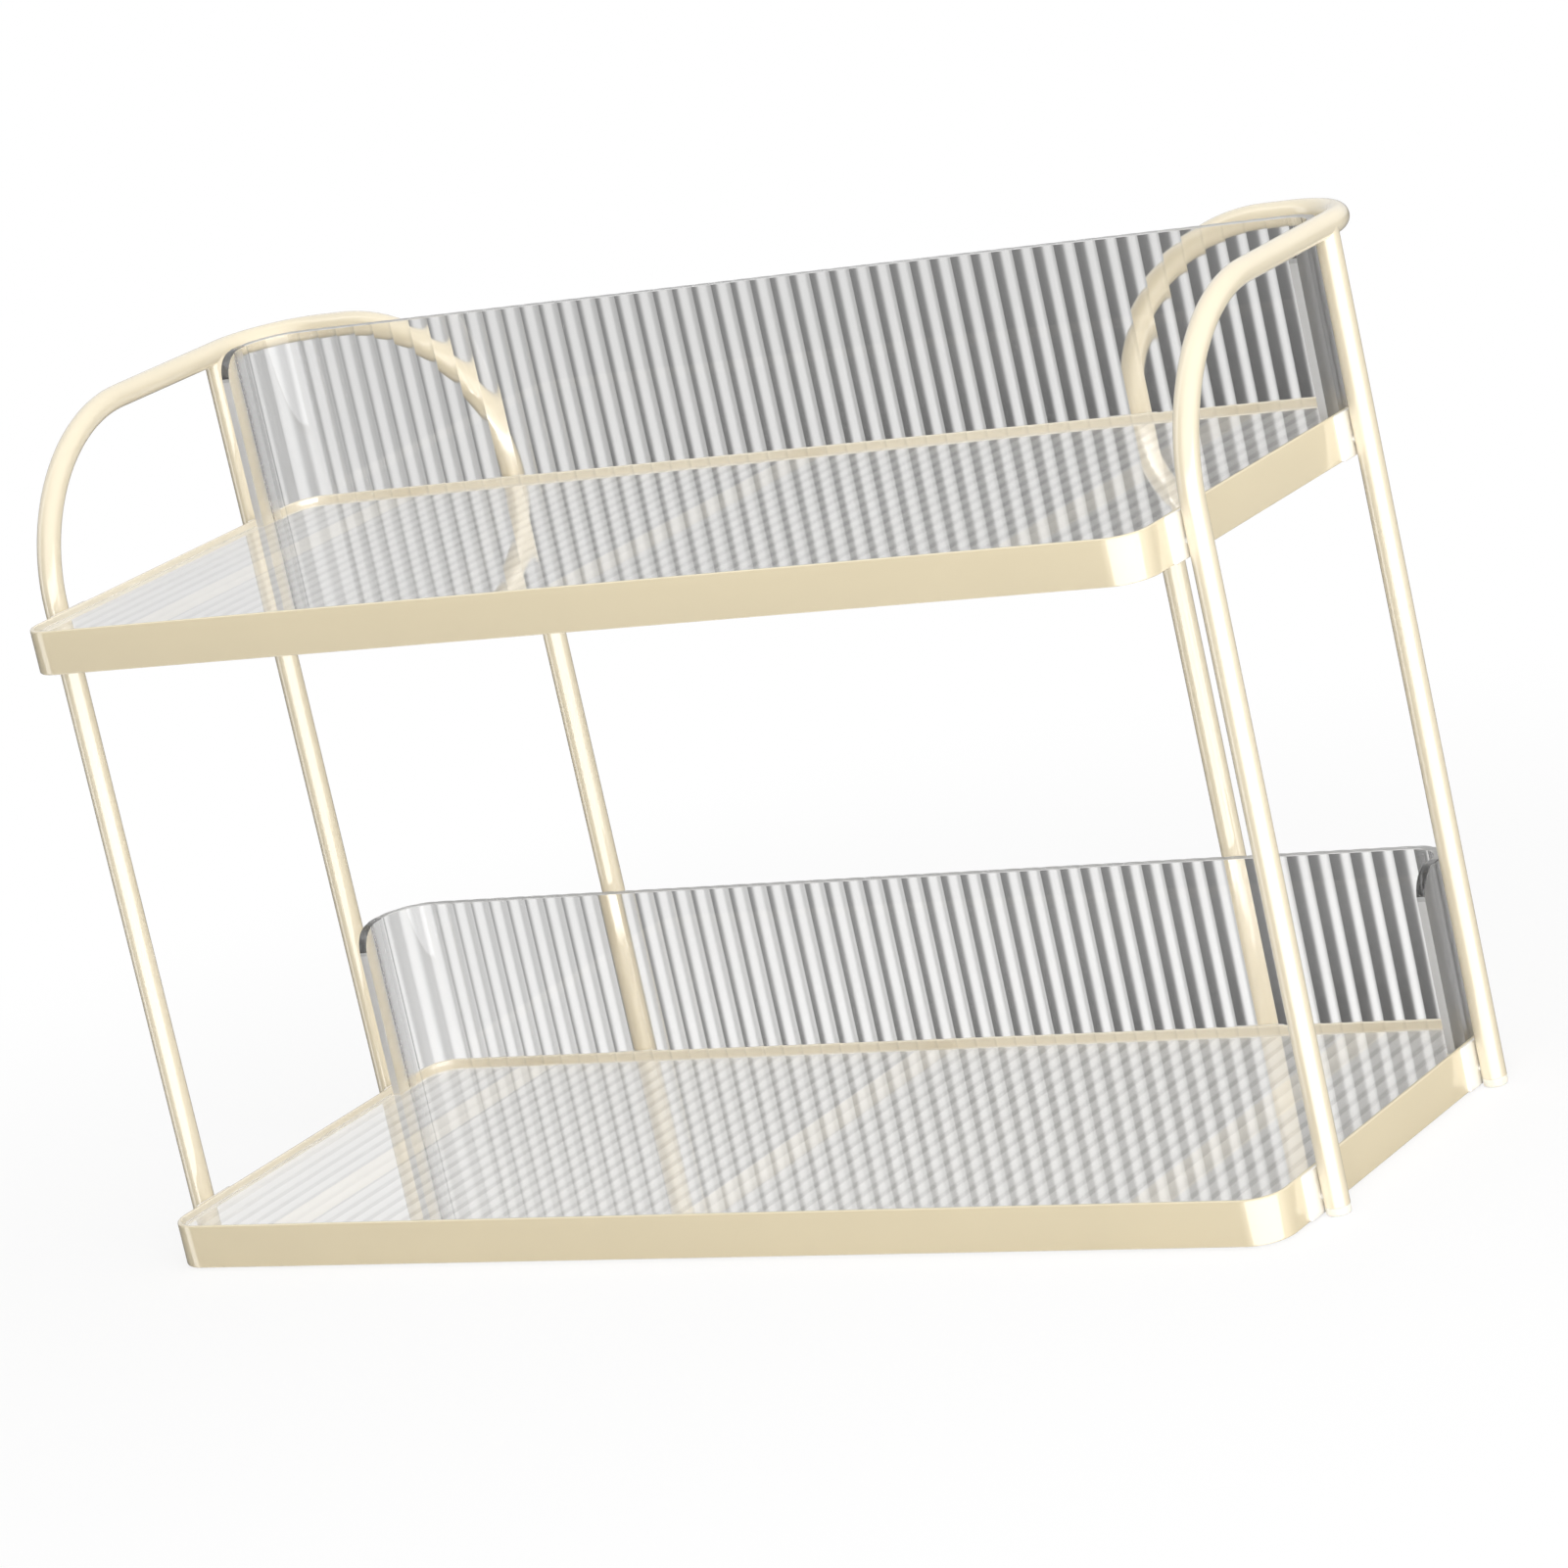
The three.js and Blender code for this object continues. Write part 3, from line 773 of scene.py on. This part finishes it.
class RACK_OT_joint_plates(Operator):
    """Twelve joint plates: a rounded outline lofted through the plate's thickness, drawn in along a quarter circle
    at the outer edge"""

    bl_idname = "rack.joint_plates"
    bl_label = "Joint plates"

    def execute(self, context):
        edge = context.scene.rack_sizes.edge_round
        quarter = quarter_turn(PLATE_STEPS)
        for side, sign in SIDES:
            for post in POSTS:
                for tier in TIERS:
                    node = f"{side}_{post}_{tier}_plate"
                    low, high = node_box(node)
                    thick, tall, wide = np.sort(high - low)
                    origin, ways = joint_frame(side, sign, post, tier)
                    depth = np.concatenate([[0.0], thick - edge + edge * np.sin(quarter)])
                    inset = np.concatenate([[0.0], edge * (1 - np.cos(quarter))])
                    layers = []
                    for x, trim in zip(depth, inset):
                        outline, _ = rounded_outline(wide / 2 - trim, tall / 2 - trim, PLATE_CORNER, PLATE_STEPS)
                        layers.append(np.column_stack([np.full(len(outline), x), outline[:, 0],
                                                       outline[:, 1] + tall / 2]))
                    # The plate coat is the same cream coat painted almost white: painted highlight.
                    place_piece(f"{side}_{post}_{tier}_joint", loft(origin + np.array(layers) @ ways),
                                cream_coat("plate_coat_painted_highlight"), "cream_coat", node)
        return {"FINISHED"}


def turned(profile, sides, hexagon=()):
    """Rings of a turned form, radius and height given per ring about the third axis. The listed rings are
    six-sided: their radius is divided by the cosine of the angle from the nearest flat's middle."""
    angle = full_turn(sides)
    radius = np.repeat(profile[:, :1], sides, 1)
    flat = (angle + math.pi / 6) % (math.pi / 3) - math.pi / 6
    radius[list(hexagon)] /= np.cos(flat)
    return np.stack([radius * np.cos(angle), radius * np.sin(angle), np.repeat(profile[:, 1:], sides, 1)], -1)


class RACK_OT_joint_screws(Operator):
    """Twelve button-head screws: a turned dome with a six-sided socket and a plain shank"""

    bl_idname = "rack.joint_screws"
    bl_label = "Joint screws"

    def execute(self, context):
        wall = context.scene.rack_sizes.band_wall
        dome = quarter_turn(TURNED_EDGE_STEPS)
        for side, sign in SIDES:
            for post in POSTS:
                for tier in TIERS:
                    node = f"{side}_{post}_{tier}_screw"
                    low, high = node_box(node)
                    _, across, length = np.sort(high - low)
                    head = across / 2
                    origin, ways = joint_frame(side, sign, post, tier)
                    height = box_middle(node)[2] - origin[2]
                    face = ((low if ways[0].sum() > 0 else high) - origin) @ ways[0]
                    tip = face + length
                    tall = -wall - face
                    socket = [[SOCKET_FLOOR, face + SOCKET_DEPTH], [SOCKET_RADIUS, face + SOCKET_DEPTH],
                              [SOCKET_RADIUS, face + SOCKET_LEAD], [SOCKET_RADIUS + SOCKET_LEAD, face]]
                    rim = np.stack([head * HEAD_FLAT + head * (1 - HEAD_FLAT) * np.sin(dome),
                                    face + tall * HEAD_DOME * (1 - np.cos(dome))], -1)
                    shank = [[head, -wall], [SHANK_RADIUS, -wall], [SHANK_RADIUS, tip - SHANK_BEVEL],
                             [SHANK_TIP, tip]]
                    rings = turned(np.concatenate([socket, rim, shank]), SCREW_SIDES, hexagon=SOCKET_RINGS)
                    local = np.stack([rings[..., 2], rings[..., 0], rings[..., 1] + height], -1)
                    place_piece(f"{side}_{post}_{tier}_button", loft(origin + local @ ways), plated_steel(),
                                "plated_steel", node)
        return {"FINISHED"}


class RACK_OT_feet(Operator):
    """Six foot pads: a turned disc with rounded edges"""

    bl_idname = "rack.feet"
    bl_label = "Feet"

    def execute(self, context):
        quarter = quarter_turn(TURNED_EDGE_STEPS)
        lower, upper = PAD_LOWER_ROUND, PAD_UPPER_ROUND
        for side, _ in SIDES:
            for post in POSTS:
                node = f"{side}_{post}_foot"
                low, high = node_box(node)
                radius = (high[0] - low[0]) / 2
                tall = high[2] - low[2]
                start = np.stack([radius - lower + lower * np.sin(quarter),
                                  lower * (1 - np.cos(quarter))], -1)
                end = np.stack([radius - upper + upper * np.cos(quarter),
                                tall - upper + upper * np.sin(quarter)], -1)
                middle = (low + high) / 2
                rings = turned(np.concatenate([start, end]), TUBE_SIDES)
                rings = rings + np.array([middle[0], middle[1], low[2]])
                place_piece(f"{side}_{post}_pad", loft(rings), foot_rubber(), "foot_rubber", node)
        return {"FINISHED"}


# Stage, in metres. The floor's own glow, which hides most of its shadow, grows with the distance from the rack.
FLOOR_REACH = 6.0
FLOOR_COLOR = (0.9, 0.9, 0.9, 1.0)
GLOW_RISE, GLOW_SHARES = (0.15, 0.5), (0.8, 1.0)
PANEL_TARGET = (0.0, 0.0, 0.11)
FRONT_PANEL = {"place": (0.95, -0.77, 0.55), "wide": 3.0, "tall": 1.5}
TOP_PANEL = {"place": (-0.1, -0.1, 1.6), "wide": 1.6, "tall": 1.2}
SENSOR_WIDTH = 36.0
CLIP_START, CLIP_END = 0.05, 50.0

# The room as the sheets refract it. Bearings are degrees from straight behind towards the left, heights are the
# upward part of a unit direction, and a pair is where a smooth change starts and ends. Lit bars of one pitch stand
# at the left, with dark gaps between them that grow paler with the bearing; the right side is a clear pale place.
BAR_PITCH, BAR_MIDDLE = 22.0, 34.6
BAR_EDGE, BAR_START = (-0.25, 0.75), (16.0, 24.0)
GAP_CHANGE, GAP_TONES = (22.0, 50.0), (0.23, 0.74)
CLEAR_END, CLEAR_TONE = (-6.0, 9.0), 0.62
# The gaps are shaded above eye level, and sink in two belts below it.
SHADE_RISE, SHADE_END, SHADE_TONE = (0.0, 0.1), (28.0, 42.0), 0.55
SINK_RISE, SINK_FALL, SINK_LOW = (-0.22, -0.20), (-0.19, -0.165), (-0.285, -0.255)
SINK_END, SINK_TONE = (36.0, 46.0), 0.75
# A belt about eye level is darker; it lightens or darkens the gaps, and brings dusk to the right side.
BELT_RISE, BELT_FALL, BELT_TONE = (-0.29, -0.16), (0.20, 0.27), 0.22
LEAN_CHANGE, LEAN_TONES = (40.0, 48.0), (0.4, -1.1)
DUSK_RISE, DUSK_FALL, DUSK_TONE = (-88.0, -76.0), (-24.0, -14.0), 3.2
BELT_REFRACTED = 0.85
# Ceiling, ground, and a dim corner at the front left.
CEILING_RISE, CEILING_TONE = (0.35, 0.8), 0.8
GROUND_FALL, GROUND_TONE = (-0.42, -0.30), 0.97
DIM_RISE, DIM_FALL = (112.0, 126.0), (168.0, 178.0)
DIM_REFRACTED, DIM_MIRRORED = 0.6, 0.8

# The room as the coating mirrors it. Bearings are degrees from straight ahead towards the right; shares are of the
# window's brightness. Beside the window are a soft shoulder and a narrow slit.
MIRROR_RISE, MIRROR_LOW = (-0.08, 0.04), 0.2
WINDOW_RISE, WINDOW_FALL = (-8.0, -2.0), (92.0, 95.0)
WINDOW_HEAD, WINDOW_OVER, SHOULDER_OVER = (0.05, 0.2), 0.2, 0.6
SHOULDER_RISE, SHOULDER_FALL, SHOULDER_SHARE = (-27.0, -4.0), (96.0, 140.0), 0.2
SLIT_RISE, SLIT_FALL, SLIT_SHARE = (-76.0, -70.0), (-54.0, -48.0), 0.5
# Rays mirrored once by a post behind a sheet, and through three or more faces, meet the window with this share.
MIRRORED_ONCE, PASSED_THRICE, RETURNED_SHARE = (0.4, 0.6), (2.4, 2.6), 3.5

# Even light, stronger from the right.
AMBIENT_RISE, AMBIENT_SHARES = (-0.9, 0.6), (0.15, 1.1)


def add_panel(name, power, place, wide, tall):
    """A rectangular studio panel that looks at the rack; it gives light and isn't seen or mirrored."""
    lamp = bpy.data.lights.new(name, "AREA")
    lamp.shape = "RECTANGLE"
    lamp.size, lamp.size_y = wide, tall
    lamp.energy = power
    panel = bpy.data.objects.new(name, lamp)
    bpy.context.scene.collection.objects.link(panel)
    back = np.array(place) - np.array(PANEL_TARGET)
    back /= np.linalg.norm(back)
    right = np.cross((0.0, 0.0, 1.0), back)
    right /= np.linalg.norm(right)
    turn = np.eye(4)
    turn[:3, :3] = np.stack([right, np.cross(back, right), back], -1)
    turn[:3, 3] = place
    panel.matrix_world = Matrix(turn.tolist())
    panel.visible_camera = False
    panel.visible_glossy = False
    panel.visible_transmission = False


class RACK_OT_stage(Operator):
    """White floor and surroundings, soft panels and the camera at the photograph's view"""

    bl_idname = "rack.stage"
    bl_label = "Stage"

    def execute(self, context):
        scene = context.scene
        stage = scene.rack_stage
        self.add_floor(scene)
        self.light_room(scene, stage)
        self.add_camera(scene, stage)
        scene.view_settings.view_transform = "Standard"
        return {"FINISHED"}

    def add_floor(self, scene):
        """A flat floor that looks white and still takes the rack's shadow."""
        corners = FLOOR_REACH * np.array([[-1, -1, 0], [1, -1, 0], [1, 1, 0], [-1, 1, 0]])
        mesh = bpy.data.meshes.new("floor")
        mesh.from_pydata(corners.tolist(), [], [(0, 1, 2, 3)])
        material = bpy.data.materials.new("floor_white")
        graph = Graph(material)
        matt = graph.node("ShaderNodeBsdfDiffuse", None, {"Color": FLOOR_COLOR})
        glow = graph.node("ShaderNodeEmission", None, {"Color": WHITE, "Strength": 1.0})
        place = graph.node("ShaderNodeTexCoord", output="Object")
        away = graph.node("ShaderNodeVectorMath", {"operation": "LENGTH"}, {0: place}, "Value")
        share = graph.ray("Is Camera Ray") * graph.span(away, *GLOW_RISE, *GLOW_SHARES)
        graph.surface(graph.mix(share, matt, glow))
        mesh.materials.append(material)
        floor = bpy.data.objects.new("floor", mesh)
        floor.visible_glossy = False
        floor.visible_transmission = False
        scene.collection.objects.link(floor)

    def light_room(self, scene, stage):
        """White all round to the eye. Through the sheets the room is a row of lit bars and dark gaps behind the
        rack, and in the coating a bright window at the front right; the rest gets even light and two panels."""
        world = bpy.data.worlds.new("room")
        scene.world = world
        graph = Graph(world)
        way = graph.node("ShaderNodeTexCoord", output="Generated")
        x, y, z = (graph.node("ShaderNodeSeparateXYZ", None, {0: way}, axis) for axis in range(3))
        behind = graph.math("DEGREES", graph.math("ARCTAN2", 0.0 - x, y))
        ahead = graph.math("DEGREES", graph.math("ARCTAN2", x, 0.0 - y))
        refracted = self.refracted_room(graph, behind, z)
        reflected = self.mirrored_room(graph, behind, z)
        window = (graph.hump(ahead, WINDOW_RISE, WINDOW_FALL, stage.window)
                  * graph.span(z, *WINDOW_HEAD, 1.0, WINDOW_OVER))
        shoulder = (graph.hump(ahead, SHOULDER_RISE, SHOULDER_FALL, SHOULDER_SHARE * stage.window)
                    * graph.span(z, *WINDOW_HEAD, 1.0, SHOULDER_OVER))
        slit = graph.hump(ahead, SLIT_RISE, SLIT_FALL, SLIT_SHARE * stage.window)

        seen = graph.ray("Is Camera Ray")
        through = graph.ray("Is Transmission Ray")
        mirrored = graph.ray("Is Glossy Ray") * (1.0 - through)
        spread = 1.0 - through - mirrored
        returned = (graph.span(graph.ray("Glossy Depth"), *MIRRORED_ONCE, 0.0, RETURNED_SHARE)
                    * graph.span(graph.ray("Transmission Depth"), *PASSED_THRICE, 0.0, 1.0))
        ambient = graph.span(x, *AMBIENT_RISE, *AMBIENT_SHARES) * stage.ambient
        strength = seen + (1.0 - seen) * (through * refracted.most(returned * window)
                                          + mirrored * reflected.most(window).most(shoulder).most(slit)
                                          + spread * ambient)
        air = graph.node("ShaderNodeBackground", None, {"Color": WHITE, "Strength": strength})
        graph.node("ShaderNodeOutputWorld", None, {"Surface": air})
        add_panel("front_panel", stage.panel_light, **FRONT_PANEL)
        add_panel("top_panel", stage.top_light, **TOP_PANEL)

    def refracted_room(self, graph, behind, z):
        """Brightness of the room through the clear sheets."""
        clear = graph.span(behind, *CLEAR_END, 1.0, 0.0)
        wave = graph.math("COSINE", (behind - BAR_MIDDLE) * (2 * math.pi / BAR_PITCH))
        lit = graph.span(wave, *BAR_EDGE, 0.0, 1.0) * graph.span(behind, *BAR_START, 0.0, 1.0).most(clear)
        gap = graph.span(behind, *GAP_CHANGE, *GAP_TONES).most(CLEAR_TONE * clear)
        shade = graph.span(z, *SHADE_RISE, 0.0, SHADE_TONE) * graph.span(behind, *SHADE_END, 1.0, 0.0)
        sink = graph.hump(z, SINK_RISE, SINK_FALL, SINK_TONE) + graph.span(z, *SINK_LOW, SINK_TONE, 0.0)
        sink = sink * (1.0 - clear) * graph.span(behind, *SINK_END, 1.0, 0.0)
        belt = graph.hump(z, BELT_RISE, BELT_FALL, BELT_TONE)
        lean = graph.span(behind, *LEAN_CHANGE, *LEAN_TONES)
        gap = gap * (1.0 - shade * (1.0 - clear)) * (1.0 + lean * belt) * (1.0 - sink)
        dusk = graph.hump(behind, DUSK_RISE, DUSK_FALL, DUSK_TONE) * belt
        bars = (gap * (1.0 - lit) + lit) * (1.0 - dusk)
        dim = graph.hump(behind, DIM_RISE, DIM_FALL)
        wall = bars * (1.0 - DIM_REFRACTED * dim) * (1.0 - BELT_REFRACTED * belt)
        ceiling = graph.span(z, *CEILING_RISE, 0.0, CEILING_TONE)
        return wall.most(ceiling).most(graph.span(z, *GROUND_FALL, GROUND_TONE, 0.0))

    def mirrored_room(self, graph, behind, z):
        """Brightness of the room in mirroring surfaces, without its window."""
        belt = graph.hump(z, BELT_RISE, BELT_FALL, BELT_TONE)
        wall = (1.0 - DIM_MIRRORED * graph.hump(behind, DIM_RISE, DIM_FALL)) * (1.0 - belt)
        ceiling = graph.span(z, *CEILING_RISE, 0.0, CEILING_TONE)
        return (wall * graph.span(z, *MIRROR_RISE, MIRROR_LOW, 1.0)).most(ceiling)

    def add_camera(self, scene, stage):
        """Looks along azimuth and fall from the camera's place, rolled about the view."""
        azimuth, fall, roll = stage.camera_turn
        forward = np.array([-math.sin(azimuth) * math.cos(fall), math.cos(azimuth) * math.cos(fall),
                            -math.sin(fall)])
        level = np.array([math.cos(azimuth), math.sin(azimuth), 0.0])
        down = np.cross(forward, level)
        right = math.cos(roll) * level + math.sin(roll) * down
        under = math.cos(roll) * down - math.sin(roll) * level
        turn = np.eye(4)
        turn[:3, :3] = np.stack([right, -under, -forward], -1)
        turn[:3, 3] = stage.camera_place
        data = bpy.data.cameras.new("camera")
        data.lens = stage.lens
        data.sensor_width = SENSOR_WIDTH
        data.clip_start, data.clip_end = CLIP_START, CLIP_END
        camera = bpy.data.objects.new("camera", data)
        camera.matrix_world = Matrix(turn.tolist())
        scene.collection.objects.link(camera)
        scene.camera = camera


PIECES = (
    RACK_OT_tray_bands, RACK_OT_cross_bars, RACK_OT_floor_sheets, RACK_OT_back_guards, RACK_OT_arch_tubes,
    RACK_OT_corner_posts, RACK_OT_joint_plates, RACK_OT_joint_screws, RACK_OT_feet, RACK_OT_stage,
)


class RACK_PT_panel(Panel):
    """Sizes, finishes and the steps that dress the rack"""

    bl_idname = "RACK_PT_panel"
    bl_label = "Cosmetic rack"
    bl_space_type = "VIEW_3D"
    bl_region_type = "UI"
    bl_category = "Rack"

    def draw(self, context):
        for group in (context.scene.rack_sizes, context.scene.rack_finishes, context.scene.rack_stage):
            box = self.layout.box()
            for name in group.__annotations__:
                box.prop(group, name)
        for step in PIECES:
            self.layout.operator(step.bl_idname)


CLASSES = (RackSizes, RackFinishes, RackStage, *PIECES, RACK_PT_panel)


def register():
    for item in CLASSES:
        bpy.utils.register_class(item)
    bpy.types.Scene.rack_sizes = PointerProperty(type=RackSizes)
    bpy.types.Scene.rack_finishes = PointerProperty(type=RackFinishes)
    bpy.types.Scene.rack_stage = PointerProperty(type=RackStage)


def unregister():
    del bpy.types.Scene.rack_stage
    del bpy.types.Scene.rack_finishes
    del bpy.types.Scene.rack_sizes
    for item in reversed(CLASSES):
        bpy.utils.unregister_class(item)


def main():
    register()
    bpy.ops.rack.tray_bands()
    bpy.ops.rack.cross_bars()
    bpy.ops.rack.floor_sheets()
    bpy.ops.rack.back_guards()
    bpy.ops.rack.arch_tubes()
    bpy.ops.rack.corner_posts()
    bpy.ops.rack.joint_plates()
    bpy.ops.rack.joint_screws()
    bpy.ops.rack.feet()
    bpy.ops.rack.stage()


if __name__ == "__main__":
    main()
